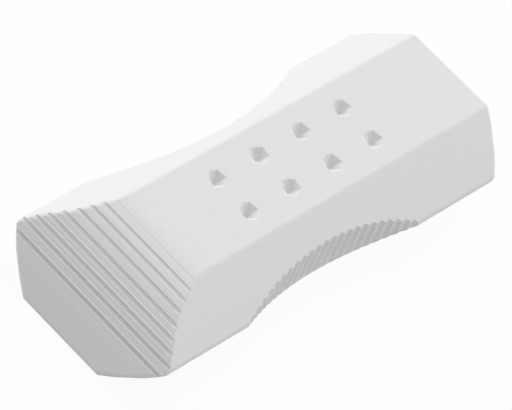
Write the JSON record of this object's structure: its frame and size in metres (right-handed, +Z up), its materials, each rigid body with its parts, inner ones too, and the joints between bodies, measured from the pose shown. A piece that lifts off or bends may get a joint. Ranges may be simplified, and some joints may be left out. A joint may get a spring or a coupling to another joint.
{
  "type": "block eraser",
  "caption": "White moulded hand eraser: a slanted bar with rolled, ribbed ends, fluted finger scoops in its sides and faceted grip dimples, for rubbing out pencil lines.",
  "frame": {"origin": "centre of the resting face, midway between the two lips and between the two mid-height edges", "axes": "+X along the bar towards the end whose upper lip stands out, +Y towards the deeper scoop, +Z up"},
  "size_m": [0.0602, 0.0246, 0.0103],
  "materials": {
    "white_vinyl": "fine matte moulded vinyl"
  },
  "bodies": {
    "root": {"eraser_body": "white_vinyl"}
  },
  "joints": []
}
